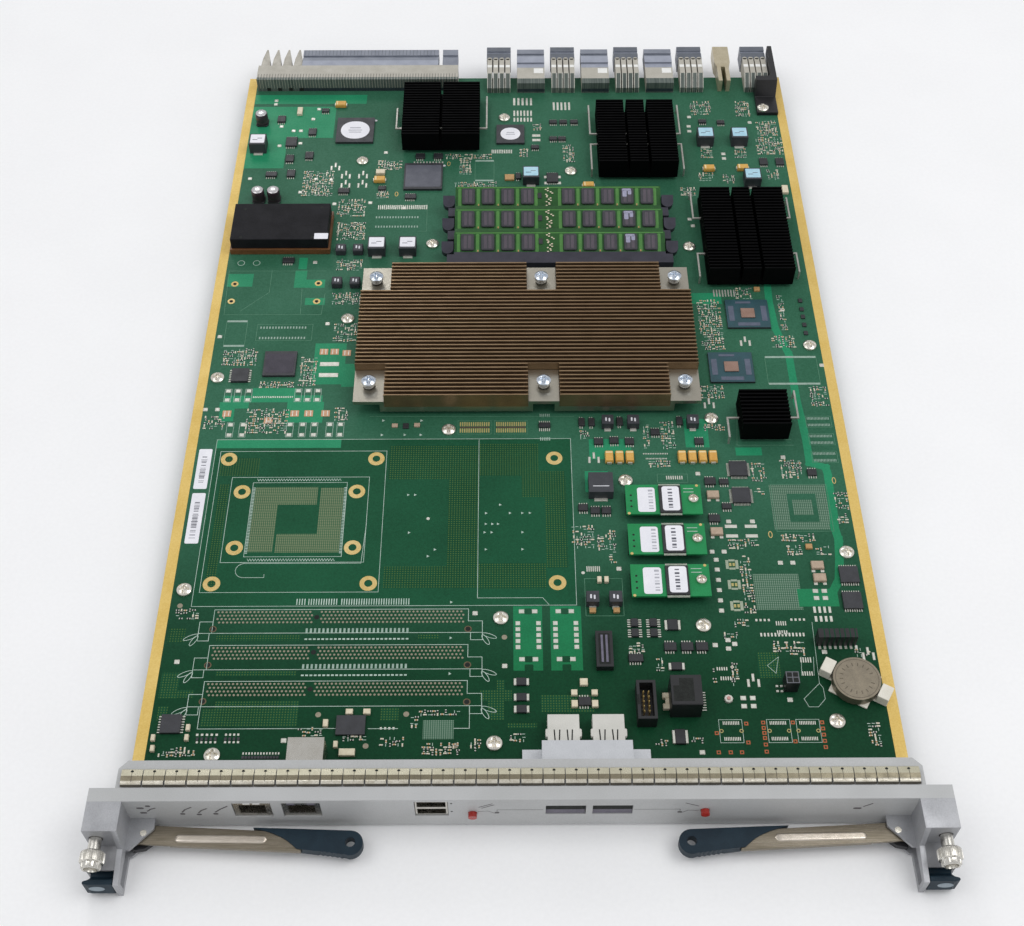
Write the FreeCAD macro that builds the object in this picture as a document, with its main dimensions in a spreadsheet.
import FreeCAD, Part
import os
import re
import Sketcher

# A supervisor module for a network chassis, lying flat: a circuit board on a sheet tray, with a
# front panel towards -Y, two ejector levers on it, and backplane connectors along the +Y edge.
# X is to the right and Z is up. The table top is Z = 0, and the origin is below the middle.

# Driving sizes in millimetres and degrees. Each is written once and named in the sheet.
SIZES = {
    # circuit board and the tray that carries it
    "board_width": 362.5,
    "board_depth": 524.0,
    "board_thick": 2.6,
    "tray_thick": 1.2,
    "tray_inset": 7.0,
    "tray_rear_inset": 12.0,
    "tray_rim_height": 5.0,
    "tray_lip_depth": 9.0,
    "standoff_height": 8.4,
    "standoff_diameter": 7.0,
    "screw_diameter": 3.0,
    "screw_clearance": 0.5,
    "screw_grip": 4.0,
    "screw_head_diameter": 7.5,
    "small_screw_head_diameter": 5.2,
    "screw_head_height": 2.3,
    "cooler_hole_pitch": 80.0,
    "cooler_hole_diameter": 4.0,
    "socket_hole_width": 61.3,
    "socket_hole_depth": 36.0,
    # front panel
    "panel_reach": 534.0,
    "panel_width": 387.0,
    "panel_height": 29.2,
    "panel_wall": 3.0,
    "bezel_depth": 6.5,
    "bezel_round": 3.0,
    "channel_width": 364.0,
    "channel_depth": 13.5,
    "channel_drop": 0.6,
    "channel_chamfer": 4.0,
    "flange_thick": 1.2,
    # spring finger strip on the panel's top flange
    "gasket_length": 362.0,
    "gasket_depth": 9.0,
    "gasket_rise": 2.2,
    "gasket_sheet": 0.35,
    "finger_pitch": 4.76,
    "finger_slit": 0.45,
    # ports in the panel
    "port_clearance": 0.3,
    "port_recess": 0.5,
    "jack_width": 16.8,
    "jack_height": 13.6,
    "jack_mouth_width": 12.0,
    "jack_mouth_height": 8.4,
    "jack_mouth_depth": 11.0,
    "console_jack_length": 15.5,
    "network_jack_length": 32.0,
    "usb_width": 14.6,
    "usb_height": 14.4,
    "usb_length": 17.0,
    "usb_mouth_width": 13.0,
    "usb_mouth_height": 5.2,
    "usb_mouth_pitch": 7.1,
    "usb_mouth_depth": 10.0,
    "flash_slot_width": 17.6,
    "flash_slot_height": 8.6,
    "flash_slot_pitch": 21.2,
    "flash_slot_lift": 1.6,
    "cage_length": 28.5,
    "cage_wall": 1.6,
    "cage_tab_width": 9.0,
    "cage_tab_depth": 11.0,
    "cage_tab_thick": 2.0,
    "receptacle_width": 15.0,
    "receptacle_height": 7.0,
    "receptacle_length": 15.5,
    "lens_diameter": 4.0,
    "lens_length": 8.9,
    "lens_proud": 2.4,
    # ejector housings at both ends of the panel
    "ejector_reach": 32.5,
    "housing_width": 15.5,
    "housing_wall": 2.5,
    "housing_skin": 1.2,
    "housing_shelf": 12.2,
    "housing_shelf_length": 25.0,
    "housing_wall_rise": 2.6,
    "screw_block_length": 13.8,
    "screw_block_slope": 2.4,
    "clevis_reach": 11.5,
    "clevis_length": 15.0,
    "clevis_plate": 1.6,
    "clevis_foot": 1.0,
    "clevis_gap": 6.4,
    "claw_recess": 1.7,
    # levers
    "pivot_inset": 7.0,
    "pivot_forward": 7.0,
    "pivot_diameter": 3.0,
    "pivot_clearance": 0.16,
    "pin_proud": 0.2,
    "lever_gap": 0.3,
    "lever_rest_angle": 3.0,
    "lever_half_width": 4.5,
    "lever_sheet": 1.5,
    "lever_rib_width": 4.2,
    "lever_rib_height": 1.1,
    "lever_arm_length": 72.0,
    "claw_reach": 7.8,
    "claw_thick": 3.0,
    "grip_start": 48.8,
    "grip_end": 99.7,
    "grip_thick": 5.2,
    "grip_proud": 0.7,
    "grip_rear": 6.0,
    "grip_end_radius": 5.9,
    "grip_end_offset": 0.4,
    "grip_ridge_pitch": 2.2,
    "grip_ridge_depth": 0.35,
    "grip_hole_diameter": 4.4,
    "grip_fit": 0.15,
    # release buttons
    "button_clearance": 0.3,
    "button_stem_length": 13.0,
    "button_neck_height": 9.0,
    "button_lip_depth": 3.2,
    "button_lip_rise": 12.6,
    "button_lip_flare": 2.2,
    "button_inset": 0.5,
    # captive screws
    "captive_inset": 4.6,
    "captive_rise": 20.7,
    "captive_gap": 6.2,
    "captive_head_diameter": 11.0,
    "captive_head_length": 8.0,
    "captive_shank_diameter": 5.8,
    "captive_shank_grip": 6.6,
    "captive_thread_diameter": 4.0,
    "captive_thread_length": 11.6,
    "captive_clearance": 0.6,
    "captive_flutes": 16,
    "captive_flute_depth": 0.5,
    "washer_thick": 0.8,
    "washer_clearance": 0.16,
    # rear connectors
    "connector_reach": 22.0,
    "connector_unit_pitch": 21.8,
    "wafer_body_front": 16.0,
    "wafer_body_height": 10.0,
    "wafer_thick": 3.3,
    "wafer_pitch": 4.1,
    "nose_start": 8.0,
    "nose_height": 9.0,
    "nose_width": 16.4,
    "nose_sink": 1.4,
    "header_width": 18.6,
    "header_body_height": 8.0,
    "header_start": 5.0,
    "header_reach": 19.5,
    "wide_body_width": 136.0,
    "wide_body_front": 13.3,
    "wide_body_height": 9.5,
    "wide_rib_pitch": 4.0,
    "wide_rib_slot": 1.2,
    "wide_rib_depth": 1.0,
    "wide_shroud_width": 93.0,
    "wide_shroud_start": 2.0,
    "wide_end_width": 10.4,
    "shroud_groove": 2.6,
    "blade_width": 6.2,
    "blade_height": 6.0,
    "blade_pitch": 7.4,
    "guide_width": 10.6,
    "guide_height": 9.0,
    "guide_leg": 2.6,
    "guide_length": 15.0,
    "block_width": 14.0,
    "block_height": 14.0,
    "block_length": 24.0,
    "block_foot_length": 16.6,
    "block_foot_height": 2.6,
    "block_screw_inset": 4.0,
    "block_horn_width": 3.0,
    "block_horn_reach": 16.0,
    # large processor heatsink
    "sink_width": 192.3,
    "sink_depth": 103.6,
    "sink_lift": 2.6,
    "sink_base": 4.0,
    "sink_fin_rise": 10.1,
    "sink_fin_floor": 0.5,
    "sink_fin_thick": 0.8,
    "sink_fin_pitch": 2.83,
    "ear_width": 17.0,
    "ear_depth": 23.0,
    "ear_top": 8.5,
    "ear_sheet": 2.4,
    "ear_riser": 2.5,
    "ear_fit": 0.2,
    "ear_screw_head_diameter": 8.0,
    "ear_screw_head_height": 2.6,
    "ear_screw_rise": 3.6,
    "ear_screw_diameter": 4.0,
    "ear_hole_clearance": 0.6,
    # black finned heatsinks on chips
    "chip_lift": 2.4,
    "cooler_base": 2.6,
    "cooler_fin_rise": 11.0,
    "cooler_fin_thick": 1.0,
    "cooler_fin_pitch": 2.6,
    "cooler_cut": 1.8,
    "clip_wire": 1.0,
    "clip_lift": 0.3,
    # memory
    "module_length": 128.0,
    "module_height": 18.9,
    "module_thick": 1.3,
    "module_tilt": 22.0,
    "module_pitch": 20.4,
    "module_seat": 4.0,
    "module_lift": 4.0,
    "socket_depth": 9.2,
    "socket_height": 8.2,
    "socket_end": 4.2,
    "socket_fit": 0.15,
    "memory_chip_width": 8.2,
    "memory_chip_height": 11.0,
    "memory_chip_thick": 1.2,
    "memory_chip_pitch": 12.25,
    "memory_chip_start": 6.4,
    "memory_chip_gap": 25.5,
    "memory_chip_inset": 4.0,
    "latch_width": 7.2,
    "latch_length": 8.0,
    "latch_thick": 5.0,
    "latch_gap": 0.4,
    # power brick
    "brick_width": 61.0,
    "brick_depth": 34.0,
    "brick_board": 2.0,
    "brick_lift": 2.0,
    "brick_plate": 7.6,
    "brick_plate_inset": 1.0,
    # small flash boards
    "flash_board_width": 40.0,
    "flash_board_depth": 19.0,
    "flash_board_thick": 1.2,
    "flash_board_lift": 4.6,
    "flash_board_pitch": 25.2,
    "flash_plug_width": 5.0,
    "flash_spacer_diameter": 5.0,
    "flash_screw_inset": 4.4,
    # battery
    "cell_diameter": 23.0,
    "cell_thick": 5.0,
    "cell_lift": 1.2,
    "holder_width": 27.0,
    "holder_arm": 8.0,
    "holder_turn": 30.0,
    "holder_rim": 1.6,
    # board connectors
    "service_jack_width": 14.8,
    "service_jack_depth": 15.6,
    "service_jack_height": 13.0,
    "service_mouth_width": 11.8,
    "service_mouth_height": 7.6,
    "service_mouth_depth": 10.0,
    "box_header_width": 9.2,
    "box_header_depth": 20.4,
    "box_header_height": 9.0,
    "box_header_wall": 1.4,
    "box_header_floor": 2.0,
    "mezzanine_width": 8.3,
    "mezzanine_depth": 20.0,
    "mezzanine_height": 4.2,
    "pin_header_width": 19.2,
    "pin_header_depth": 5.0,
    "pin_header_height": 8.5,
    "power_plug_side": 6.4,
    "power_plug_height": 9.0,
    # surface parts
    "tantalum_width": 4.5,
    "tantalum_length": 7.2,
    "tantalum_height": 2.8,
    "tantalum_gap": 1.1,
    "can_diameter": 8.0,
    "can_height": 9.0,
    "choke_side": 10.4,
    "choke_height": 7.0,
    "tall_choke_width": 10.6,
    "tall_choke_depth": 10.2,
    "tall_choke_height": 7.8,
    "small_choke_side": 6.4,
    "small_choke_height": 5.0,
    "large_choke_side": 13.0,
    "large_choke_height": 6.5,
    "square_chip_side": 24.6,
    "square_chip_height": 1.7,
    "flip_chip_width": 25.2,
    "flip_chip_depth": 22.4,
    "flip_chip_height": 1.4,
    "round_chip_side": 18.4,
    "round_chip_height": 1.6,
    "small_chip_side": 9.6,
    "small_chip_height": 1.7,
    "flat_chip_width": 13.8,
    "flat_chip_depth": 10.0,
    "flat_chip_height": 1.5,
}

# Formulas that several pieces share.
BOARD_BOTTOM = "(tray_thick + standoff_height)"
BOARD_TOP = "(tray_thick + standoff_height + board_thick)"
REAR = "((panel_reach + ejector_reach - connector_reach) / 2)"
FRONT = f"({REAR} - panel_reach)"
WALL_BACK = f"({FRONT} + panel_wall)"
SINK_TOP = f"({BOARD_TOP} + sink_lift + sink_base)"
PIVOT_Z = "(clevis_foot + clevis_plate)"

# Places on the board: X from the middle line, and the distance in front of the rear edge.
# They were read on a board of this half width, and those past the zone's start follow the side edges.
PLAN_HALF_WIDTH = 181.25
EDGE_ZONE = 150.0
BOARD_SCREW_SPOTS = [
    (-99.1, 85.6), (-7.1, 42.7), (35.7, 96.2), (-51.4, 162.7), (106.4, 165.9), (-99.4, 225.5),
    (-170.3, 271.0), (-38.0, 309.4), (107.6, 302.1), (169.5, 247.8), (57.7, 344.8), (-169.7, 412.8),
    (-9.2, 430.1), (91.7, 434.8), (169.5, 391.5), (-144.2, 504.1), (-12.2, 498.5), (150.7, 487.7),
]
COOLER_CENTRE = (-116.8, 369.0)
SPARE_HOLE_X = 19.8
CONSOLE_JACK_X = -121.0
NETWORK_JACK_X = -98.8
USB_X = -40.4
FLASH_PORT_X = 30.9
LENS_SPOTS = [(-21.9, 2.9), (83.3, 5.0)]
LAST_UNIT_INSET = 17.65
# The wide connector's pieces, from the board's left edge.
WIDE_LEFT = 6.85
SHROUD_LEFT = 36.25
END_BLOCK_LEFT = 132.05
FIRST_BLADE_LEFT = 10.95
GUIDE_BLOCK_INSET = 12.35
SINK_SPOT = (5.3, 246.2)
MIDDLE_EAR_X = 14.6
MEMORY_SPOT = (26.4, 182.0)
BRICK_SPOT = (-144.2, 154.0)
FLASH_BOARD_SPOT = (76.6, 361.0)
BATTERY_SPOT = (162.1, 467.9)
SERVICE_JACK_SPOT = (78.8, 477.0)
BOX_HEADER_SPOT = (60.1, 480.0)
MEZZANINE_SPOT = (41.6, 449.8)
PIN_HEADER_SPOT = (156.0, 444.0)
POWER_PLUG_SPOT = (130.6, 468.7)

# Black heatsinks: X, distance in front of the rear edge, width, depth, and X of the cross cuts.
COOLERS = {
    "rear_left_heatsink": (-48.4, 50.5, 50.2, 54.0, [0.0]),
    "rear_middle_heatsink": (78.4, 73.5, 50.3, 61.8, [-6.4, 7.0]),
    "right_heatsink": (139.8, 163.5, 50.9, 73.7, [-6.3, 6.2]),
    "small_heatsink": (135.0, 305.9, 26.4, 24.9, []),
}
# Their wire clips: the gap between fins that a wire crosses, counted from the front, how far it
# stands out at both sides, and how far its left and right arms then run, to the rear if positive.
CLIPS = [
    ("rear_left_heatsink", 6, 5.1, (20.0, 32.0)),
    ("rear_middle_heatsink", 14, 4.8, (28.5, 28.5)),
    ("rear_middle_heatsink", 10, 4.8, (-24.0, -24.0)),
    ("right_heatsink", 20, 5.0, (24.0, 18.0)),
    ("right_heatsink", 8, 5.0, (-19.0, -15.5)),
    ("small_heatsink", 4, 6.8, (-13.0, 19.0)),
]

TANTALUM_ROWS = [((49.6, 329.5), 3), ((89.2, 329.5), 4)]
SINGLE_TANTALUMS = [(-116.9, 29.4), (-87.0, 104.6), (124.8, 94.8), (146.6, 94.4), (46.5, 110.7)]
CAN_SPOTS = [(-167.8, 47.0), (-162.4, 122.0), (-152.6, 122.0)]
CHOKES = {
    "choke": [(-85.1, 168.1), (-66.2, 168.1), (151.2, 106.5), (9.9, 104.0)],
    "tall_choke": [(124.5, 67.0), (146.6, 67.2), (-167.6, 72.4)],
    "small_choke": [(37.0, 420.3), (48.6, 420.3), (49.7, 305.9), (63.8, 305.9), (96.7, 305.9)],
    "large_choke": [(44.0, 350.1)],
}
CHIPS = {
    "square_chip": [(-105.6, 55.9), (-59.1, 101.6)],
    "flip_chip": [(136.1, 223.1), (122.3, 264.9)],
    "round_chip": [(-3.1, 60.3), (-135.7, 261.0)],
    "small_chip": [(-157.6, 269.6), (-165.6, 488.0), (118.9, 337.6), (118.7, 355.3), (168.5, 405.5),
                   (167.9, 421.0)],
    "flat_chip": [(-80.3, 489.0)],
}

document = FreeCAD.newDocument("supervisor_module")
sheet = document.addObject("Spreadsheet::Sheet", "Sizes")
for row, (size_name, number) in enumerate(SIZES.items(), start=1):
    sheet.set(f"A{row}", size_name)
    sheet.set(f"B{row}", str(number))
    sheet.setAlias(f"B{row}", size_name)
document.recompute()

sub_parts = []


def formula(text):
    """Write a formula with the names of the sheet's cells in it."""
    return re.sub(r"[a-z]+(?:_[a-z]+)+", lambda word: sheet.Name + "." + word.group(), str(text))


def bind(item, path, text):
    """Tie one property of an object to a formula."""
    item.setExpression(path, formula(text))


def number_of(text):
    """The number that a formula has now."""
    return float(sheet.evalExpression(formula(text)))


def keep(item, label):
    """Give a finished sub-part its name and list it for writing."""
    item.Label = label
    sub_parts.append(item)
    return item


def move(item, x, y, z):
    """Tie an object's place to three formulas."""
    for axis, text in zip("xyz", (x, y, z)):
        bind(item, f"Placement.Base.{axis}", text)


def along(back):
    """The Y of a place at a distance in front of the board's rear edge."""
    return f"({REAR} - ({back}))"


def across(x):
    """The X of a place on the board: near a side edge it keeps its distance from that edge."""
    if not isinstance(x, float) or abs(x) < EDGE_ZONE:
        return f"({x})"
    side = 1 if x > 0 else -1
    return f"({side} * (board_width / 2 - {round(PLAN_HALF_WIDTH - abs(x), 2)}))"


GUIDE_BLOCK_X = f"(board_width / 2 - {GUIDE_BLOCK_INSET})"
WIDE_CENTRE_X = f"({WIDE_LEFT} + (wide_body_width - board_width) / 2)"
SHROUD_CENTRE_X = f"({SHROUD_LEFT} + (wide_shroud_width - board_width) / 2)"
END_BLOCK_X = f"({END_BLOCK_LEFT} + (wide_end_width - board_width) / 2)"
FIRST_BLADE_X = f"({FIRST_BLADE_LEFT} - board_width / 2)"


# Part primitives and groups.

def box(name, low, size):
    """A box from its low corner and its three sides."""
    item = document.addObject("Part::Box", name)
    for path, text in zip(("Length", "Width", "Height"), size):
        bind(item, path, text)
    move(item, *low)
    return item


def seated_box(name, spot, size, z=BOARD_TOP):
    """A box that stands on the board with its middle at a spot."""
    x, back = spot
    low = (f"{across(x)} - {size[0]} / 2", f"{along(back)} - {size[1]} / 2", z)
    return box(name, low, size)


def cylinder(name, centre, radius, height):
    """An upright cylinder from the middle of its foot."""
    item = document.addObject("Part::Cylinder", name)
    bind(item, "Radius", radius)
    bind(item, "Height", height)
    move(item, *centre)
    return item


def fuse(name, items):
    """Several solids made one."""
    item = document.addObject("Part::MultiFuse", name)
    item.Shapes = items
    return item


def cut(name, base, tool):
    """One solid less another."""
    item = document.addObject("Part::Cut", name)
    item.Base = base
    item.Tool = tool
    return item


def group(label, items):
    """Separate solids of one kind, kept under one name."""
    item = document.addObject("Part::Compound", label)
    item.Links = items
    return keep(item, label)


def mirrored(label, source):
    """The right-hand twin of a left-hand piece."""
    item = document.addObject("Part::Mirroring", label)
    item.Source = source
    item.Normal = FreeCAD.Vector(1, 0, 0)
    return keep(item, label)


# Bodies built from sketches.

def new_body(label):
    """An empty body that is kept under its label."""
    return keep(document.addObject("PartDesign::Body", label), label)


def sketch(body, name, plane, offset="0"):
    """A sketch on one of the body's own planes, moved along that plane's normal."""
    item = body.newObject("Sketcher::SketchObject", name)
    support = [feature for feature in body.Origin.OriginFeatures if feature.Role == plane]
    item.AttachmentSupport = [(support[0], "")]
    item.MapMode = "FlatFace"
    bind(item, "AttachmentOffset.Base.z", offset)
    return item


def hold(item, kind, geometry, point, text):
    """A distance from the sketch's origin to a point, tied to a formula."""
    rule = Sketcher.Constraint(kind, -1, 1, geometry, point, number_of(text))
    bind(item, f"Constraints[{item.addConstraint(rule)}]", text)


def outline(item, points):
    """A closed polygon through points given as pairs of formulas."""
    first = item.GeometryCount
    places = [FreeCAD.Vector(number_of(x), number_of(y), 0) for x, y in points]
    count = len(points)
    for index in range(count):
        item.addGeometry(Part.LineSegment(places[index], places[(index + 1) % count]))
    for index in range(count):
        following = first + (index + 1) % count
        item.addConstraint(Sketcher.Constraint("Coincident", first + index, 2, following, 1))
    for index, (x, y) in enumerate(points):
        hold(item, "DistanceX", first + index, 1, x)
        hold(item, "DistanceY", first + index, 1, y)


def rectangle(item, low, high):
    """A closed rectangle between two opposite corners."""
    (left, bottom), (right, top) = low, high
    outline(item, [(left, bottom), (right, bottom), (right, top), (left, top)])


def centred(item, x, y, width, depth):
    """A closed rectangle about its middle."""
    rectangle(item, (f"{x} - {width} / 2", f"{y} - {depth} / 2"),
              (f"{x} + {width} / 2", f"{y} + {depth} / 2"))


def circle(item, x, y, diameter):
    """A circle from its middle and its diameter."""
    middle = FreeCAD.Vector(number_of(x), number_of(y), 0)
    index = item.addGeometry(Part.Circle(middle, FreeCAD.Vector(0, 0, 1), number_of(diameter) / 2))
    hold(item, "DistanceX", index, 3, x)
    hold(item, "DistanceY", index, 3, y)
    rule = Sketcher.Constraint("Diameter", index, number_of(diameter))
    bind(item, f"Constraints[{item.addConstraint(rule)}]", diameter)


def pad(body, profile, length, reverse=False, both=False):
    """Add the sketch's area, carried along its normal."""
    item = body.newObject("PartDesign::Pad", profile.Name + "_pad")
    item.Profile = profile
    bind(item, "Length", length)
    item.Reversed = reverse
    if both:
        item.SideType = "Symmetric"
    document.recompute()
    return item


def pocket(body, profile, length, reverse=False):
    """Take the sketch's area away and see that something went."""
    before = body.Shape.Volume
    item = body.newObject("PartDesign::Pocket", profile.Name + "_pocket")
    item.Profile = profile
    bind(item, "Length", length)
    item.Reversed = reverse
    document.recompute()
    if body.Shape.Volume >= before:
        raise RuntimeError(profile.Name + " takes nothing away")
    return item


def repeat(body, feature, profile, axis, pitch, count):
    """Repeat a feature in a row along an axis of its own sketch."""
    item = body.newObject("PartDesign::LinearPattern", feature.Name + "_row")
    item.Originals = [feature]
    item.Direction = (profile, [axis])
    item.Mode = "Spacing"
    bind(item, "Offset", pitch)
    bind(item, "Occurrences", count)
    body.Tip = item
    document.recompute()
    return item


# The board, its tray and their screws.

def make_circuit_board():
    """The laminate board with its screw holes and the empty processor site's holes."""
    body = new_body("circuit_board")
    plan = sketch(body, "board_plan", "XY_Plane", BOARD_BOTTOM)
    rectangle(plan, ("-board_width / 2", f"{REAR} - board_depth"), ("board_width / 2", REAR))
    pad(body, plan, "board_thick")
    holes = sketch(body, "board_holes", "XY_Plane", BOARD_TOP)
    for x, back in BOARD_SCREW_SPOTS:
        circle(holes, across(x), along(back), "screw_diameter + screw_clearance")
    x, back = COOLER_CENTRE
    for side in (-1, 1):
        for end in (-1, 1):
            circle(holes, f"{x} + {side} * cooler_hole_pitch / 2",
                   f"{along(back)} + {end} * cooler_hole_pitch / 2", "cooler_hole_diameter")
            circle(holes, f"{x} + {side} * socket_hole_width / 2",
                   f"{along(back)} + {end} * socket_hole_depth / 2", "cooler_hole_diameter")
        circle(holes, SPARE_HOLE_X, f"{along(back)} + {side} * cooler_hole_pitch / 2",
               "cooler_hole_diameter")
    pocket(body, holes, "board_thick")


def make_carrier_tray():
    """The sheet tray under the board, with bent side rims, a front lip and pressed-in standoffs."""
    body = new_body("carrier_tray")
    half = "(board_width / 2 - tray_inset)"
    rear = f"({REAR} - tray_rear_inset)"
    front = f"({FRONT} + bezel_depth + channel_depth + port_clearance)"
    plan = sketch(body, "tray_plan", "XY_Plane")
    rectangle(plan, (f"-{half}", front), (half, rear))
    pad(body, plan, "tray_thick")
    rims = sketch(body, "tray_rims", "XY_Plane")
    rectangle(rims, (f"-{half}", front), (f"-{half} + tray_thick", rear))
    rectangle(rims, (f"{half} - tray_thick", front), (half, rear))
    pad(body, rims, "tray_rim_height")
    lip = sketch(body, "tray_lip", "YZ_Plane")
    outline(lip, [
        (f"{front} + tray_thick", "0"),
        (f"{front} + tray_thick", "flange_thick + tray_thick"),
        (f"{front} - tray_lip_depth", "flange_thick + tray_thick"),
        (f"{front} - tray_lip_depth", "flange_thick"),
        (front, "flange_thick"),
        (front, "0"),
    ])
    pad(body, lip, f"2 * {half}", both=True)
    posts = sketch(body, "tray_posts", "XY_Plane", "tray_thick")
    for x, back in BOARD_SCREW_SPOTS:
        circle(posts, across(x), along(back), "standoff_diameter")
    pad(body, posts, "standoff_height")
    bores = sketch(body, "tray_bores", "XY_Plane", BOARD_BOTTOM)
    for x, back in BOARD_SCREW_SPOTS:
        circle(bores, across(x), along(back), "screw_diameter + screw_clearance")
    pocket(body, bores, "screw_grip + screw_clearance")


def pan_screw(name, x, y, seat, grip, head_diameter="screw_head_diameter"):
    """A pan head screw: a tapered head on its seat and a shank below it."""
    head = document.addObject("Part::Cone", name + "_head")
    bind(head, "Radius1", f"{head_diameter} / 2")
    bind(head, "Radius2", f"{head_diameter} / 2 - screw_head_height / 2")
    bind(head, "Height", "screw_head_height")
    move(head, x, y, seat)
    shank = cylinder(name + "_shank", (x, y, f"{seat} - ({grip})"), "screw_diameter / 2",
                     f"{grip} + screw_head_height / 2")
    return fuse(name, [head, shank])


def flash_board_middle(index):
    """The Y of one of the three small flash boards."""
    return f"({along(FLASH_BOARD_SPOT[1])} - {index} * flash_board_pitch)"


def make_board_screws():
    """The screws of the board, of the three flash boards and of the black guide block."""
    screws = []
    for index, (x, back) in enumerate(BOARD_SCREW_SPOTS):
        screws.append(pan_screw(f"board_screw_{index}", across(x), along(back), BOARD_TOP,
                                "board_thick + screw_grip"))
    flash_x = f"({FLASH_BOARD_SPOT[0]} + flash_board_width / 2 - flash_screw_inset)"
    for index in range(3):
        screws.append(pan_screw(f"flash_screw_{index}", flash_x, flash_board_middle(index),
                                f"{BOARD_TOP} + flash_board_lift + flash_board_thick",
                                "flash_board_thick + flash_board_lift / 2", "small_screw_head_diameter"))
    screws.append(pan_screw("guide_screw", f"{GUIDE_BLOCK_X} - block_horn_width",
                            f"{REAR} - block_length - block_foot_length + block_screw_inset",
                            f"{BOARD_TOP} + block_foot_height", "block_foot_height / 2"))
    group("board_screws", screws)


# The front panel and its gasket.

def port_box(item, x, low, width, height):
    """The opening of one port in the panel's front wall."""
    centred(item, x, f"{low} + {height} / 2", f"({width} + 2 * port_clearance)",
            f"({height} + 2 * port_clearance)")


def make_front_panel():
    """The panel: a wide front bezel, a channel behind it for the gasket, and the port openings."""
    body = new_body("front_panel")
    bezel = sketch(body, "bezel_face", "XZ_Plane", f"-{FRONT}")
    rectangle(bezel, ("-panel_width / 2", "0"), ("panel_width / 2", "panel_height"))
    pad(body, bezel, "bezel_depth", reverse=True)
    channel = sketch(body, "channel_plan", "XY_Plane")
    rear = f"({FRONT} + bezel_depth + channel_depth)"
    half = "channel_width / 2"
    outline(channel, [
        (f"-{half}", FRONT),
        (half, FRONT),
        (half, f"{rear} - channel_chamfer"),
        (f"{half} - channel_chamfer", rear),
        (f"-{half} + channel_chamfer", rear),
        (f"-{half}", f"{rear} - channel_chamfer"),
    ])
    pad(body, channel, "panel_height - channel_drop")
    hollow = sketch(body, "channel_hollow", "XZ_Plane", f"-{rear}")
    rectangle(hollow, (f"-{half}", "flange_thick"),
              (half, "panel_height - channel_drop - flange_thick"))
    pocket(body, hollow, f"{rear} - {WALL_BACK}", reverse=True)
    ports = sketch(body, "port_openings", "XZ_Plane", f"-{WALL_BACK}")
    jack_low = f"({BOARD_TOP} + port_clearance)"
    port_box(ports, CONSOLE_JACK_X, jack_low, "jack_width", "jack_height")
    port_box(ports, NETWORK_JACK_X, jack_low, "jack_width", "jack_height")
    port_box(ports, USB_X, jack_low, "usb_width", "usb_height")
    for side in (-1, 1):
        port_box(ports, f"({FLASH_PORT_X} + {side} * flash_slot_pitch / 2)",
                 f"({BOARD_TOP} + flash_slot_lift)", "flash_slot_width", "flash_slot_height")
    for x, rise in LENS_SPOTS:
        circle(ports, x, f"{BOARD_TOP} + {rise}", "lens_diameter + port_clearance")
    pocket(body, ports, "panel_wall", reverse=True)
    bores = sketch(body, "captive_bores", "XZ_Plane", f"-{FRONT} - bezel_depth")
    for side in (-1, 1):
        circle(bores, f"{side} * (panel_width / 2 - captive_inset)", "captive_rise",
               "captive_thread_diameter + captive_clearance")
    pocket(body, bores, "bezel_depth", reverse=True)
    low_front = [f"Edge{index}" for index, edge in enumerate(body.Shape.Edges, start=1)
                 if edge.BoundBox.ZMax < 0.001 and abs(edge.BoundBox.YMax - number_of(FRONT)) < 0.001]
    cut_panel = body.Tip
    rounding = body.newObject("PartDesign::Fillet", "bezel_rounding")
    rounding.Base = (cut_panel, low_front)
    bind(rounding, "Radius", "bezel_round")
    document.recompute()


def make_emi_gasket():
    """The spring strip: an arched sheet along the flange, slit into fingers from its front edge."""
    body = new_body("emi_gasket")
    rear = f"({FRONT} + bezel_depth + gasket_depth)"
    floor = "(panel_height - channel_drop)"
    arch = sketch(body, "gasket_arch", "YZ_Plane")
    outer = [(0.0, 0.0), (0.02, 0.5), (0.2, 0.9), (0.5, 1.0), (0.8, 0.72), (0.97, 0.12)]
    inner = [(0.88, 0.12), (0.76, 0.58), (0.5, 0.84), (0.24, 0.76), (0.08, 0.42), (0.06, 0.0)]
    outline(arch, [(f"{rear} - {y} * gasket_depth", f"{floor} + {z} * gasket_rise")
                   for y, z in outer + inner])
    pad(body, arch, "gasket_length", both=True)
    slit = sketch(body, "gasket_slit", "XY_Plane", f"{floor} + gasket_rise")
    first = "(-gasket_length / 2 + finger_pitch)"
    rectangle(slit, (first, f"{rear} - gasket_depth"),
              (f"{first} + finger_slit", f"{rear} - gasket_depth * 0.2"))
    slot = pocket(body, slit, "gasket_rise")
    repeat(body, slot, slit, "H_Axis", "finger_pitch", "floor(gasket_length / finger_pitch) - 1")


# Ports behind the panel.

def make_jack(label, x, length):
    """A shielded jack on the board with its plug mouth to the front."""
    body = new_body(label)
    front = f"({FRONT} + port_recess)"
    low = f"({BOARD_TOP} + port_clearance)"
    face = sketch(body, label + "_face", "XZ_Plane", f"-{front}")
    centred(face, x, f"({low} + jack_height / 2)", "jack_width", "jack_height")
    pad(body, face, length, reverse=True)
    mouth = sketch(body, label + "_mouth", "XZ_Plane", f"-{front}")
    centred(mouth, x, f"({low} + jack_height / 2)", "jack_mouth_width", "jack_mouth_height")
    pocket(body, mouth, "jack_mouth_depth")


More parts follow.
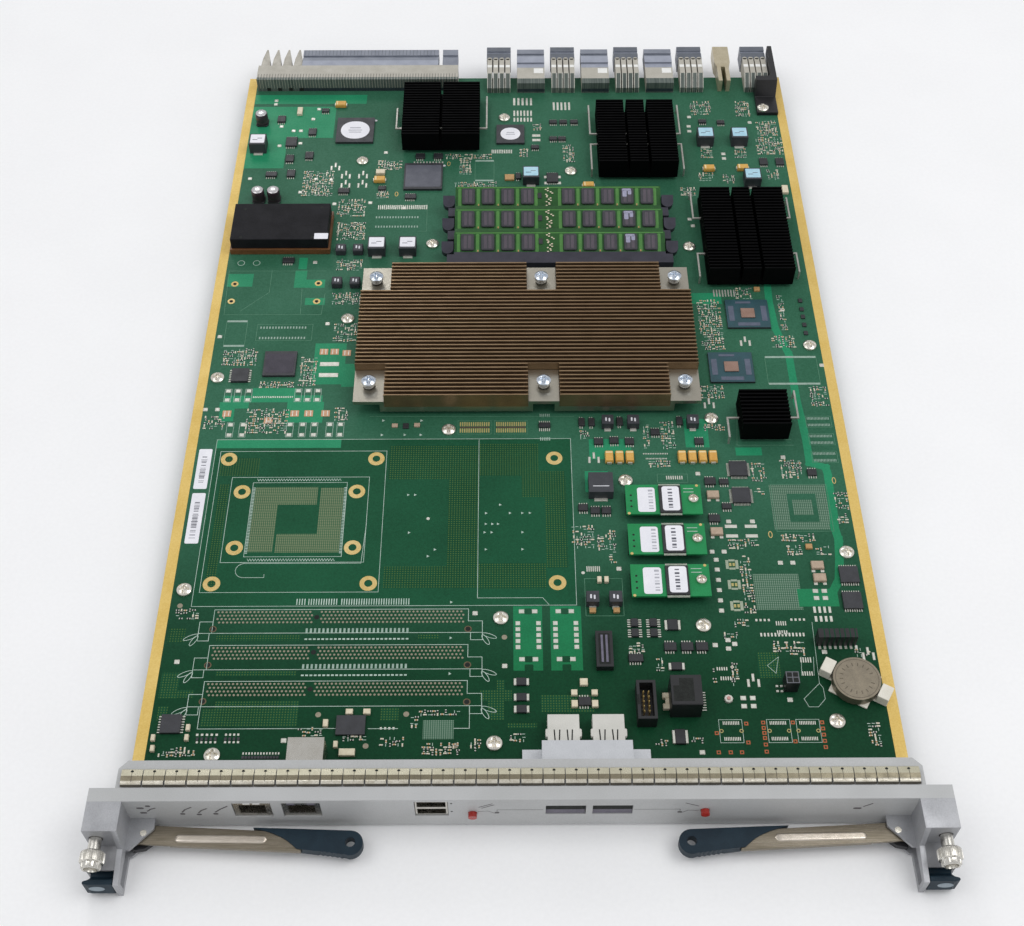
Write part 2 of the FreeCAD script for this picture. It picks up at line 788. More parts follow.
def make_usb_host_socket():
    """Two stacked sockets in one metal shell."""
    body = new_body("usb_host_socket")
    front = f"({FRONT} + port_recess)"
    low = f"({BOARD_TOP} + port_clearance)"
    face = sketch(body, "usb_face", "XZ_Plane", f"-{front}")
    centred(face, USB_X, f"({low} + usb_height / 2)", "usb_width", "usb_height")
    pad(body, face, "usb_length", reverse=True)
    mouths = sketch(body, "usb_mouths", "XZ_Plane", f"-{front}")
    for side in (-1, 1):
        centred(mouths, USB_X, f"({low} + usb_height / 2 + {side} * usb_mouth_pitch / 2)",
                "usb_mouth_width", "usb_mouth_height")
    pocket(body, mouths, "usb_mouth_depth")


def make_flash_port_cage():
    """The metal cage behind the two flash slots: two open tunnels and a screw tab at each side."""
    body = new_body("flash_port_cage")
    width = "(flash_slot_pitch + flash_slot_width + 2 * cage_wall)"
    low = f"({BOARD_TOP} + flash_slot_lift - cage_wall)"
    height = "(flash_slot_height + 2 * cage_wall)"
    face = sketch(body, "cage_face", "XZ_Plane", f"-{WALL_BACK}")
    centred(face, FLASH_PORT_X, f"({low} + {height} / 2)", width, height)
    pad(body, face, "cage_length", reverse=True)
    tabs = sketch(body, "cage_tabs", "XY_Plane", low)
    rear = f"({WALL_BACK} + cage_length)"
    for side in (-1, 1):
        inner = f"({FLASH_PORT_X} + {side} * {width} / 2)"
        outer = f"({inner} + {side} * cage_tab_width)"
        rectangle(tabs, (inner, f"{rear} - cage_tab_depth"), (outer, rear))
    pad(body, tabs, "cage_tab_thick")
    tunnels = sketch(body, "cage_tunnels", "XZ_Plane", f"-{WALL_BACK}")
    for side in (-1, 1):
        centred(tunnels, f"({FLASH_PORT_X} + {side} * flash_slot_pitch / 2)",
                f"({low} + {height} / 2)", "flash_slot_width", "flash_slot_height")
    pocket(body, tunnels, "cage_length")


def make_flash_port_sockets():
    """The two receptacles that close the cage's tunnels at the rear."""
    sockets = []
    front = f"({WALL_BACK} + cage_length + port_clearance)"
    for index, side in enumerate((-1, 1)):
        x = f"({FLASH_PORT_X} + {side} * flash_slot_pitch / 2)"
        shell = box(f"receptacle_{index}", (f"{x} - receptacle_width / 2", front, BOARD_TOP),
                    ("receptacle_width", "receptacle_length", "receptacle_height"))
        mouth_z = f"{BOARD_TOP} + (receptacle_height - usb_mouth_height) / 2"
        mouth = box(f"receptacle_mouth_{index}", (f"{x} - usb_mouth_width / 2", front, mouth_z),
                    ("usb_mouth_width", "usb_mouth_depth", "usb_mouth_height"))
        sockets.append(cut(f"receptacle_open_{index}", shell, mouth))
    group("flash_port_sockets", sockets)


def make_indicator_lenses():
    """Two red lenses that stand a little out of round holes of the panel."""
    lenses = []
    for index, (x, rise) in enumerate(LENS_SPOTS):
        item = document.addObject("Part::Cylinder", f"lens_{index}")
        item.Placement.Rotation = FreeCAD.Rotation(FreeCAD.Vector(1, 0, 0), -90)
        bind(item, "Radius", "lens_diameter / 2")
        bind(item, "Height", "lens_length")
        move(item, x, f"{FRONT} - lens_proud", f"{BOARD_TOP} + {rise}")
        lenses.append(item)
    group("indicator_lenses", lenses)


# Ejectors. The left one is modelled, and the right one is its mirror image.

LEFT_END = "(-panel_width / 2)"
HOUSING_INNER = f"({LEFT_END} + housing_width)"
PIVOT_X = f"({HOUSING_INNER} + pivot_inset)"
PIVOT_Y = f"({FRONT} - pivot_forward)"
CAPTIVE_X = f"({LEFT_END} + captive_inset)"


def make_ejector_housing():
    """The cast housing: a screw block, a low shelf box with the button's chamber, and a clevis."""
    body = new_body("left_ejector_housing")
    shelf = sketch(body, "housing_shelf_plan", "XY_Plane")
    rectangle(shelf, (LEFT_END, f"{FRONT} - housing_shelf_length"), (HOUSING_INNER, FRONT))
    pad(body, shelf, "housing_shelf")
    block = sketch(body, "housing_block_side", "YZ_Plane", LEFT_END)
    rectangle(block, (f"{FRONT} - screw_block_length", "0"), (FRONT, "panel_height"))
    pad(body, block, "housing_width")
    wall = sketch(body, "housing_wall_side", "YZ_Plane", f"{HOUSING_INNER} - housing_wall")
    rise = "(housing_shelf + housing_wall_rise)"
    tip = f"({FRONT} - ejector_reach + button_inset)"
    outline(wall, [
        (FRONT, "0"),
        (FRONT, "panel_height"),
        (f"{FRONT} - screw_block_length", "panel_height"),
        (f"{FRONT} - screw_block_length - screw_block_slope", rise),
        (tip, f"{rise} - housing_wall_rise"),
        (tip, "0"),
    ])
    pad(body, wall, "housing_wall")
    clevis = sketch(body, "clevis_plan", "XY_Plane", "clevis_foot")
    outline(clevis, [
        (HOUSING_INNER, FRONT),
        (f"{HOUSING_INNER} + clevis_reach", FRONT),
        (f"{HOUSING_INNER} + clevis_reach", f"{FRONT} - clevis_length / 3"),
        (f"{HOUSING_INNER} + clevis_plate", f"{FRONT} - clevis_length"),
        (HOUSING_INNER, f"{FRONT} - clevis_length"),
    ])
    pad(body, clevis, "2 * clevis_plate + clevis_gap")
    mouth = sketch(body, "clevis_mouth", "XY_Plane", "clevis_foot + clevis_plate + clevis_gap")
    rectangle(mouth, (f"{HOUSING_INNER} - claw_recess", f"{FRONT} - 2 * clevis_length"),
              (f"{HOUSING_INNER} + 2 * clevis_reach", FRONT))
    pocket(body, mouth, "clevis_gap")
    chamber = sketch(body, "button_chamber", "XZ_Plane", f"-{FRONT} + housing_shelf_length")
    rectangle(chamber, (f"{LEFT_END} + housing_skin", "housing_skin"),
              (f"{HOUSING_INNER} - housing_wall", "housing_shelf - housing_skin"))
    pocket(body, chamber, "button_stem_length + button_lip_depth")
    bore = sketch(body, "captive_bore", "XZ_Plane", f"-{FRONT} + screw_block_length")
    circle(bore, CAPTIVE_X, "captive_rise", "captive_shank_diameter + captive_clearance")
    pocket(body, bore, "screw_block_length")
    pin = sketch(body, "pin_holes", "XY_Plane", "clevis_foot + 2 * clevis_plate + clevis_gap")
    circle(pin, PIVOT_X, PIVOT_Y, "pivot_diameter")
    pocket(body, pin, "2 * clevis_plate + clevis_gap")
    return body


def make_pivot_pin():
    """The pin through the clevis, the lever and its claw."""
    item = cylinder("left_pivot_pin", (PIVOT_X, PIVOT_Y, "clevis_foot - pin_proud"),
                    "pivot_diameter / 2", "2 * clevis_plate + clevis_gap + 2 * pin_proud")
    return keep(item, "left_pivot_pin")


def turn_lever(body):
    """Put a lever piece, drawn about the pivot, at the clevis and a little open."""
    body.Placement.Rotation = FreeCAD.Rotation(FreeCAD.Vector(0, 0, -1), 1)
    bind(body, "Placement.Rotation.Angle", "lever_rest_angle")
    move(body, PIVOT_X, PIVOT_Y, "clevis_foot + clevis_plate")


def make_lever_arm():
    """The pressed steel arm: a flat strip with a raised rib along it and a round eye."""
    body = new_body("left_lever_arm")
    top = "(clevis_gap - lever_gap)"
    strip = sketch(body, "arm_strip", "XY_Plane", f"{top} - lever_sheet")
    outline(strip, [
        ("-lever_half_width", "-lever_half_width"),
        ("lever_arm_length", "-lever_half_width"),
        ("lever_arm_length", "lever_half_width"),
        ("-lever_half_width / 2", "lever_half_width"),
        ("-lever_half_width", "lever_half_width / 2"),
    ])
    pad(body, strip, "lever_sheet")
    edges = sketch(body, "arm_edges", "XY_Plane", "lever_gap + claw_thick + lever_gap")
    start = "(lever_half_width + claw_reach)"
    for side in (-1, 1):
        rectangle(edges, (start, f"{side} * lever_half_width"),
                  ("lever_arm_length", f"{side} * (lever_half_width - lever_sheet)"))
    pad(body, edges, f"{top} - 2 * lever_gap - claw_thick")
    eye = sketch(body, "arm_eye", "XY_Plane", top)
    circle(eye, "0", "0", "pivot_diameter + pivot_clearance")
    pocket(body, eye, "clevis_gap")
    turn_lever(body)
    return body


def make_lever_claw():
    """The dark claw under the arm's eye, which bears on the chassis."""
    body = new_body("left_lever_claw")
    plan = sketch(body, "claw_plan", "XY_Plane", "lever_gap")
    outline(plan, [
        ("-0.55 * claw_reach", "-0.84 * claw_reach"),
        ("0.1 * claw_reach", "-0.7 * claw_reach"),
        ("0.55 * claw_reach", "-0.5 * lever_half_width"),
        ("0.55 * claw_reach", "0.6 * lever_half_width"),
        ("-0.3 * claw_reach", "0.8 * lever_half_width"),
        ("-0.55 * claw_reach", "0.2 * lever_half_width"),
    ])
    pad(body, plan, "claw_thick")
    eye = sketch(body, "claw_eye", "XY_Plane", "lever_gap + claw_thick")
    circle(eye, "0", "0", "pivot_diameter + pivot_clearance")
    pocket(body, eye, "claw_thick")
    turn_lever(body)
    return body


def make_lever_grip():
    """The moulded grip on the arm's end: a slanting start, fine ridges in front, a round end and a hole."""
    body = new_body("left_lever_grip")
    top = "(clevis_gap - lever_gap)"
    foot = f"({top} + grip_proud - grip_thick)"
    plan = sketch(body, "grip_plan", "XY_Plane", foot)
    centre_u = "(grip_end - grip_end_radius)"
    front_v = "(grip_end_offset - grip_end_radius)"
    slant = [(0.0, 0.93), (0.2, 0.56), (0.3, 0.28), (0.37, 0.0), (0.43, -0.33), (0.47, -0.58)]
    points = [(f"grip_start + {u} * ({centre_u} - grip_start)", f"{v} * grip_rear") for u, v in slant]
    for index in range(12):
        lift = "grip_ridge_depth" if index % 2 else "0"
        points.append((f"{centre_u} + ({index} - 13) * grip_ridge_pitch / 2",
                       f"{front_v} + (13 - {index}) * 0.1 + {lift}"))
    for angle in range(-90, 91, 15):
        points.append((f"{centre_u} + grip_end_radius * cos({angle})",
                       f"grip_end_offset + grip_end_radius * sin({angle})"))
    outline(plan, points)
    pad(body, plan, "grip_thick")
    slot = sketch(body, "grip_slot", "YZ_Plane", "lever_arm_length + grip_fit")
    rectangle(slot, ("-lever_half_width - grip_fit", "2 * lever_gap + claw_thick - grip_fit"),
              ("lever_half_width + grip_fit", f"{top} + grip_fit"))
    pocket(body, slot, "lever_arm_length - grip_start + 2 * grip_fit")
    hole = sketch(body, "grip_hole", "XY_Plane", f"{top} + grip_proud")
    circle(hole, centre_u, "2 * grip_end_offset", "grip_hole_diameter")
    pocket(body, hole, "grip_thick")
    turn_lever(body)
    return body


def make_release_button():
    """The push button in the housing's end: a stem in the chamber, a neck and a raised lip."""
    body = new_body("left_release_button")
    side = sketch(body, "button_side", "YZ_Plane", f"{LEFT_END} + housing_skin + button_clearance")
    tip = f"({FRONT} - ejector_reach)"
    low = "(housing_skin + button_clearance)"
    rear = f"({FRONT} - housing_shelf_length + button_stem_length)"
    outline(side, [
        (rear, low),
        (rear, "button_neck_height"),
        (f"{tip} + 1.7 * button_lip_depth", "button_neck_height"),
        (f"{tip} + button_lip_depth", "button_lip_rise"),
        (f"{tip} + button_lip_depth / 3", "button_lip_rise"),
        (tip, f"{low} + button_lip_depth"),
        (f"{tip} + button_lip_depth / 3", low),
    ])
    width = "(housing_width - housing_wall - housing_skin - 2 * button_clearance)"
    pad(body, side, width)
    flare = sketch(body, "button_flare", "XY_Plane", low)
    outer = f"({LEFT_END} + housing_skin + button_clearance)"
    outline(flare, [
        (outer, f"{tip} + button_lip_depth"),
        (f"{outer} - button_lip_flare", f"{tip} + 0.8 * button_lip_depth"),
        (f"{outer} - button_lip_flare", f"{tip} + 0.4 * button_lip_depth"),
        (outer, f"{tip} + button_lip_depth / 3"),
    ])
    pad(body, flare, f"button_lip_rise - {low}")
    return body


def make_captive_screw():
    """The thumbscrew: a fluted head, a plain shank in the block and a threaded end."""
    body = new_body("left_captive_screw")
    profile = sketch(body, "captive_profile", "XY_Plane")
    head_rear = "(-screw_block_length - captive_gap)"
    head_front = f"({head_rear} - captive_head_length)"
    shank_end = "(-screw_block_length + captive_shank_grip)"
    thread_end = f"({shank_end} + captive_thread_length)"
    chamfer = "captive_head_diameter / 10"
    outline(profile, [
        ("0", head_front),
        ("captive_head_diameter / 2 - captive_head_diameter / 5", head_front),
        ("captive_head_diameter / 2", f"{head_front} + 2 * {chamfer}"),
        ("captive_head_diameter / 2", f"{head_rear} - {chamfer}"),
        (f"captive_head_diameter / 2 - {chamfer}", head_rear),
        ("captive_shank_diameter / 2", head_rear),
        ("captive_shank_diameter / 2", shank_end),
        ("captive_thread_diameter / 2", shank_end),
        ("captive_thread_diameter / 2", thread_end),
        ("0", thread_end),
    ])
    turned = body.newObject("PartDesign::Revolution", "captive_turned")
    turned.Profile = profile
    turned.ReferenceAxis = (profile, ["V_Axis"])
    turned.Angle = 360
    document.recompute()
    flute = sketch(body, "captive_flute", "XZ_Plane", f"-{head_rear}")
    half = "(captive_flute_depth * 0.9)"
    radius = "captive_head_diameter / 2"
    outline(flute, [
        (f"{radius} - captive_flute_depth", "0"),
        (f"{radius} + captive_flute_depth", f"-2 * {half}"),
        (f"{radius} + captive_flute_depth", f"2 * {half}"),
    ])
    groove = pocket(body, flute, "captive_head_length", reverse=True)
    ring = body.newObject("PartDesign::PolarPattern", "captive_flutes_ring")
    ring.Originals = [groove]
    ring.Axis = (flute, ["N_Axis"])
    ring.Angle = 360
    bind(ring, "Occurrences", "captive_flutes")
    body.Tip = ring
    document.recompute()
    move(body, CAPTIVE_X, FRONT, "captive_rise")
    return body


def make_screw_washer():
    """The retaining washer behind the screw's shank, inside the block's bore."""
    body = new_body("left_screw_washer")
    face = sketch(body, "washer_face", "XZ_Plane", "screw_block_length - captive_shank_grip")
    circle(face, "0", "0", "captive_shank_diameter")
    circle(face, "0", "0", "captive_thread_diameter + washer_clearance")
    pad(body, face, "washer_thick", reverse=True)
    move(body, CAPTIVE_X, FRONT, "captive_rise")
    return body


def make_ejectors():
    """Both ejectors, piece by piece."""
    makers = (make_ejector_housing, make_pivot_pin, make_lever_arm, make_lever_claw, make_lever_grip,
              make_release_button, make_captive_screw, make_screw_washer)
    for maker in makers:
        left = maker()
        mirrored(left.Label.replace("left_", "right_"), left)


# Rear connectors.

def unit_x(place):
    """The X of one of the nine connector places, which share the right of the rear edge evenly."""
    pitch = f"connector_unit_pitch * board_width / {2 * PLAN_HALF_WIDTH}"
    return f"(board_width / 2 - {LAST_UNIT_INSET} - {8 - place} * {pitch})"


WAFER_PLACES = (0, 2, 4, 6, 8)
HEADER_PLACES = (1, 3, 5)
GUIDE_PLACE = 7


def make_connector_wafers():
    """The beige insulators: the wide ribbed body, four wafers a unit, and three plain bodies."""
    pieces = []
    wide = document.addObject("PartDesign::Body", "wide_body")
    plan = sketch(wide, "wide_plan", "XY_Plane", BOARD_TOP)
    half = "(wide_body_width / 2)"
    rectangle(plan, (f"{WIDE_CENTRE_X} - {half}", f"{REAR} - wide_body_front"),
              (f"{WIDE_CENTRE_X} + {half}", f"{REAR} + wide_shroud_start"))
    pad(wide, plan, "wide_body_height")
    slot = sketch(wide, "wide_rib_slot_plan", "XY_Plane", f"{BOARD_TOP} + wide_body_height")
    first = f"({WIDE_CENTRE_X} - {half} + wide_rib_pitch)"
    rectangle(slot, (first, f"{REAR} - wide_body_front"),
              (f"{first} + wide_rib_slot", f"{REAR} - wide_body_front / 3"))
    groove = pocket(wide, slot, "wide_rib_depth")
    repeat(wide, groove, slot, "H_Axis", "wide_rib_pitch", "floor(wide_body_width / wide_rib_pitch) - 1")
    pieces.append(wide)
    for place in WAFER_PLACES:
        for index in range(4):
            wafer = document.addObject("PartDesign::Body", f"wafer_{place}_{index}")
            left = f"({unit_x(place)} + {index - 1.5} * wafer_pitch - wafer_thick / 2)"
            side = sketch(wafer, f"wafer_side_{place}_{index}", "YZ_Plane", left)
            front = f"({REAR} - wafer_body_front)"
            top = f"({BOARD_TOP} + wafer_body_height)"
            outline(side, [
                (front, BOARD_TOP),
                (f"{REAR} + nose_start", BOARD_TOP),
                (f"{REAR} + nose_start", top),
                (f"{REAR} - wafer_body_front / 2", top),
                (front, f"{top} - wafer_body_height * 0.6"),
            ])
            pad(wafer, side, "wafer_thick")
            pieces.append(wafer)
    for place in HEADER_PLACES:
        pieces.append(box(f"header_body_{place}",
                          (f"{unit_x(place)} - header_width / 2", f"{REAR} - wafer_body_front", BOARD_TOP),
                          ("header_width", "wafer_body_front + header_start", "header_body_height")))
    group("connector_wafers", pieces)


def grooved(name, x, width, start, reach, low, height):
    """A grey shroud with a shallow groove along its top."""
    shell = box(name + "_shell", (f"{x} - {width} / 2", f"{REAR} + {start}", low),
                (width, f"{reach} - {start}", height))
    channel = box(name + "_channel",
                  (f"{x} - {width} / 2", f"{REAR} + ({start} + {reach}) / 2",
                   f"{low} + {height} - wide_rib_depth"),
                  (width, "shroud_groove", "wide_rib_depth"))
    return cut(name, shell, channel)


def make_connector_shrouds():
    """The grey shrouds in front of the insulators, which enter the backplane."""
    pieces = [
        grooved("wide_shroud", SHROUD_CENTRE_X, "wide_shroud_width", "wide_shroud_start", "header_reach",
                BOARD_TOP, "nose_height"),
        grooved("end_shroud", END_BLOCK_X, "wide_end_width", "wide_shroud_start", "header_reach",
                BOARD_TOP, "nose_height"),
    ]
    for place in WAFER_PLACES:
        pieces.append(grooved(f"nose_{place}", unit_x(place), "nose_width", "nose_start",
                              "connector_reach", f"({BOARD_TOP} - nose_sink)", "(nose_height + nose_sink)"))
    for place in HEADER_PLACES:
        pieces.append(grooved(f"header_shroud_{place}", unit_x(place), "header_width", "header_start",
                              "header_reach", BOARD_TOP, "nose_height"))
    group("connector_shrouds", pieces)


def make_power_blades():
    """Four pointed blades beside the wide shroud, which mate first."""
    blades = []
    for index in range(4):
        blade = document.addObject("PartDesign::Body", f"blade_{index}")
        plan = sketch(blade, f"blade_plan_{index}", "XY_Plane", f"{BOARD_TOP} + blade_height / 4")
        x = f"({FIRST_BLADE_X} + {index} * blade_pitch)"
        start = f"({REAR} + wide_shroud_start)"
        tip = f"({REAR} + connector_reach)"
        outline(plan, [
            (f"{x} - blade_width / 2", start),
            (f"{x} + blade_width / 2", start),
            (f"{x} + 0.4 * blade_width", f"({start} + {tip}) / 2"),
            (f"{x} + 0.08 * blade_width", tip),
            (f"{x} - 0.08 * blade_width", tip),
            (f"{x} - 0.4 * blade_width", f"({start} + {tip}) / 2"),
        ])
        pad(blade, plan, "blade_height")
        blades.append(blade)
    group("power_blades", blades)


def make_guide_module():
    """The metal guide socket: a block past the edge and two legs down the board."""
    body = new_body("guide_module")
    plan = sketch(body, "guide_plan", "XY_Plane", BOARD_TOP)
    x = unit_x(GUIDE_PLACE)
    half = "(guide_width / 2)"
    front = f"({REAR} - guide_length)"
    outline(plan, [
        (f"{x} - {half}", f"{REAR} + connector_reach"),
        (f"{x} - {half}", f"{REAR} + header_start"),
        (f"{x} - {half} + guide_leg / 2", REAR),
        (f"{x} - {half} + guide_leg / 2", front),
        (f"{x} - {half} + 1.5 * guide_leg", front),
        (f"{x} - {half} + 1.5 * guide_leg", REAR),
        (f"{x} + {half} - 1.5 * guide_leg", REAR),
        (f"{x} + {half} - 1.5 * guide_leg", front),
        (f"{x} + {half} - guide_leg / 2", front),
        (f"{x} + {half} - guide_leg / 2", REAR),
        (f"{x} + {half}", f"{REAR} + header_start"),
        (f"{x} + {half}", f"{REAR} + connector_reach"),
    ])
    pad(body, plan, "guide_height")
    bore = sketch(body, "guide_bore", "XZ_Plane", f"-{REAR} - connector_reach")
    circle(bore, x, f"{BOARD_TOP} + guide_height / 2", "guide_height / 2")
    pocket(body, bore, "connector_reach - header_start", reverse=True)


def make_guide_block():
    """The black guide block at the right corner: a tall body, a horn behind and a screwed foot."""
    body = new_body("guide_block")
    left = f"({GUIDE_BLOCK_X} - block_width / 2)"
    side = sketch(body, "block_side", "YZ_Plane", left)
    outline(side, [
        (f"{REAR} - block_length - block_foot_length", BOARD_TOP),
        (f"{REAR} - block_length - block_foot_length", f"{BOARD_TOP} + block_foot_height"),
        (f"{REAR} - block_length", f"{BOARD_TOP} + block_foot_height"),
        (f"{REAR} - block_length + block_horn_width", f"{BOARD_TOP} + block_height"),
        (f"{REAR} + block_horn_width", f"{BOARD_TOP} + block_height"),
        (f"{REAR} + block_horn_width", BOARD_TOP),
    ])
    pad(body, side, "block_width")
    shelf = sketch(body, "block_neighbour_room", "XY_Plane", f"{BOARD_TOP} + block_height")
    room = f"({unit_x(8)} + nose_width / 2 + port_clearance)"
    rectangle(shelf, (f"{left} - block_horn_width", f"{REAR} - wafer_body_front - port_clearance"),
              (room, f"{REAR} + connector_reach"))
    pocket(body, shelf, "block_height")
    horn = sketch(body, "block_horn_side", "YZ_Plane", f"{left} + block_width - block_horn_width")
    outline(horn, [
        (f"{REAR} + block_horn_width", BOARD_TOP),
        (f"{REAR} + block_horn_width", f"{BOARD_TOP} + block_height"),
        (f"{REAR} + block_horn_reach", f"{BOARD_TOP} + block_height"),
        (f"{REAR} + block_horn_reach", f"{BOARD_TOP} + block_height / 2"),
    ])
    pad(body, horn, "block_horn_width")
    hole = sketch(body, "block_screw_hole", "XY_Plane", f"{BOARD_TOP} + block_foot_height")
    circle(hole, f"{GUIDE_BLOCK_X} - block_horn_width",
           f"{REAR} - block_length - block_foot_length + block_screw_inset", "screw_diameter + screw_clearance")
    pocket(body, hole, "block_foot_height")


# The large processor heatsink.

SINK_X, SINK_BACK = SINK_SPOT
SINK_Y = along(SINK_BACK)
SINK_LEFT = f"({SINK_X} - sink_width / 2)"
SINK_RIGHT = f"({SINK_X} + sink_width / 2)"
SINK_FAR = f"({SINK_Y} + sink_depth / 2)"
SINK_NEAR = f"({SINK_Y} - sink_depth / 2)"


def ear_sides():
    """The left and right edges of the ears: two at the corners and one near the middle."""
    return [
        (SINK_LEFT, f"({SINK_LEFT} + ear_width)"),
        (f"({MIDDLE_EAR_X} - ear_width / 2)", f"({MIDDLE_EAR_X} + ear_width / 2)"),
        (f"({SINK_RIGHT} - ear_width)", SINK_RIGHT),
    ]


def ear_ends(inner_margin):
    """The near and far edges of the ears, drawn back by a margin at their inner end."""
    return [
        (SINK_NEAR, f"({SINK_NEAR} + ear_depth - {inner_margin})"),
        (f"({SINK_FAR} - ear_depth + {inner_margin})", SINK_FAR),
    ]


def ear_middles():
    """The middles of the six ears."""
    return [(f"(({left} + {right}) / 2)", f"(({near} + {far}) / 2)")
            for left, right in ear_sides() for near, far in ear_ends("0")]


def make_sink_base():
    """The plate under the fins, with six raised ears for its spring screws."""
    body = new_body("processor_heatsink_base")
    plan = sketch(body, "sink_plan", "XY_Plane", f"{BOARD_TOP} + sink_lift")
    rectangle(plan, (SINK_LEFT, SINK_NEAR), (SINK_RIGHT, SINK_FAR))
    pad(body, plan, "sink_base")
    ears = sketch(body, "sink_ears", "XY_Plane", f"{BOARD_TOP} + sink_lift")
    for left, right in ear_sides():
        for near, far in ear_ends("0"):
            rectangle(ears, (left, near), (right, far))
    pad(body, ears, "ear_top")
    hollows = sketch(body, "sink_ear_hollows", "XY_Plane", f"{BOARD_TOP} + sink_lift")
    for index, (left, right) in enumerate(ear_sides()):
        inner_left = left if index == 0 else f"({left} + ear_riser)"
        inner_right = right if index == 2 else f"({right} - ear_riser)"
        for near, far in ear_ends("ear_riser"):
            rectangle(hollows, (inner_left, near), (inner_right, far))
    pocket(body, hollows, "ear_top - ear_sheet", reverse=True)
    holes = sketch(body, "sink_ear_holes", "XY_Plane", f"{BOARD_TOP} + sink_lift + ear_top")
    for x, y in ear_middles():
        circle(holes, x, y, "ear_screw_diameter + ear_hole_clearance")
    pocket(body, holes, "ear_sheet")


def make_fin_stack():
    """The folded fins: a thin floor with upright sheets along X, cut away at the ears."""
    body = new_body("processor_fin_stack")
    plan = sketch(body, "fin_floor", "XY_Plane", SINK_TOP)
    rectangle(plan, (SINK_LEFT, SINK_NEAR), (SINK_RIGHT, SINK_FAR))
    pad(body, plan, "sink_fin_floor")
    fin = sketch(body, "fin_line", "XY_Plane", f"{SINK_TOP} + sink_fin_floor")
    rectangle(fin, (SINK_LEFT, SINK_NEAR), (SINK_RIGHT, f"{SINK_NEAR} + sink_fin_thick"))
    sheet_fin = pad(body, fin, "sink_fin_rise - sink_fin_floor")
    repeat(body, sheet_fin, fin, "V_Axis", "sink_fin_pitch",
           "floor((sink_depth - sink_fin_thick) / sink_fin_pitch + 0.01) + 1")
    notches = sketch(body, "fin_notches", "XY_Plane", f"{SINK_TOP} + sink_fin_rise")
    for left, right in ear_sides():
        for near, far in ear_ends("0"):
            rectangle(notches, (f"{left} - ear_fit", f"{near} - ear_fit"),
                      (f"{right} + ear_fit", f"{far} + ear_fit"))
    pocket(body, notches, "sink_fin_rise")


def make_heatsink_screws():
    """Six spring screws in the ears, each with a shoulder under its head."""
    screws = []
    seat = f"({BOARD_TOP} + sink_lift + ear_top)"
    for index, (x, y) in enumerate(ear_middles()):
        head = document.addObject("Part::Cone", f"ear_screw_head_{index}")
        bind(head, "Radius1", "ear_screw_head_diameter / 2")
        bind(head, "Radius2", "ear_screw_head_diameter / 2 - ear_screw_head_height / 2")
        bind(head, "Height", "ear_screw_head_height")
        move(head, x, y, f"{seat} + ear_screw_rise")
        shoulder = cylinder(f"ear_screw_shoulder_{index}", (x, y, seat),
                            "(ear_screw_head_diameter + ear_screw_diameter) / 4",
                            "ear_screw_rise + ear_screw_head_height / 2")
        shank = cylinder(f"ear_screw_shank_{index}", (x, y, BOARD_TOP), "ear_screw_diameter / 2",
                         "sink_lift + ear_top + ear_screw_rise")
        screws.append(fuse(f"ear_screw_{index}", [head, shoulder, shank]))
    group("heatsink_screws", screws)


# Black heatsinks with their chips and wire clips.

def make_cooler(label, x, back, width, depth, cuts):
    """An extruded heatsink: a base and fins along X, with cross cuts."""
    body = new_body(label)
    y = along(back)
    low = f"({BOARD_TOP} + chip_lift)"
    plan = sketch(body, label + "_plan", "XY_Plane", low)
    centred(plan, x, y, str(width), str(depth))
    pad(body, plan, "cooler_base")
    fin = sketch(body, label + "_fin", "XY_Plane", f"{low} + cooler_base")
    near = f"({y} - {depth} / 2)"
    rectangle(fin, (f"{x} - {width} / 2", near), (f"{x} + {width} / 2", f"{near} + cooler_fin_thick"))
    sheet_fin = pad(body, fin, "cooler_fin_rise")
    repeat(body, sheet_fin, fin, "V_Axis", "cooler_fin_pitch",
           f"floor(({depth} - cooler_fin_thick) / cooler_fin_pitch + 0.01) + 1")
    if cuts:
        gaps = sketch(body, label + "_cuts", "XY_Plane", f"{low} + cooler_base + cooler_fin_rise")
        for offset in cuts:
            centred(gaps, f"({x} + {offset})", y, "cooler_cut", f"({depth} + 2 * cooler_cut)")
        pocket(body, gaps, "cooler_fin_rise")


def make_heatsink_clips():
    """Bent wires that cross the heatsinks between two fins, with an arm at each end hooked into the board."""
    wires = []
    low = f"({BOARD_TOP} + chip_lift + cooler_base + clip_lift)"
    for index, (label, gap, stand_out, reaches) in enumerate(CLIPS):
        name = f"{label}_clip_{index}"
        x, back, width, depth, cuts = COOLERS[label]
        near = f"({along(back)} - {depth} / 2)"
        crossing = f"({near} + {gap} * cooler_fin_pitch + (cooler_fin_pitch + cooler_fin_thick - clip_wire) / 2)"
        left = f"({x} - {width} / 2 - {stand_out})"
        right = f"({x} + {width} / 2 + {stand_out} - clip_wire)"
        bends = [box(name + "_crossing", (left, crossing, low), (f"{right} + clip_wire - {left}", "clip_wire",
                                                                "clip_wire"))]
        for side, (wire_x, reach) in enumerate(zip((left, right), reaches)):
            start = crossing if reach > 0 else f"({crossing} + {reach})"
            end = f"({crossing} + {reach})"
            bends.append(box(f"{name}_arm_{side}", (wire_x, start, low),
                             ("clip_wire", f"{abs(reach)} + clip_wire", "clip_wire")))
            bends.append(box(f"{name}_hook_{side}", (wire_x, end, BOARD_TOP),
                             ("clip_wire", "clip_wire", "chip_lift + cooler_base + clip_lift + clip_wire")))
        wires.append(fuse(name, bends))
    group("heatsink_clips", wires)


# Memory.

MEMORY_X, MEMORY_BACK = MEMORY_SPOT
MEMORY_LEFT = f"({MEMORY_X} - module_length / 2)"


def foot_y(index):
    """The Y of one module's lower edge, counted from the front."""
    return f"({along(MEMORY_BACK)} + {index} * module_pitch)"


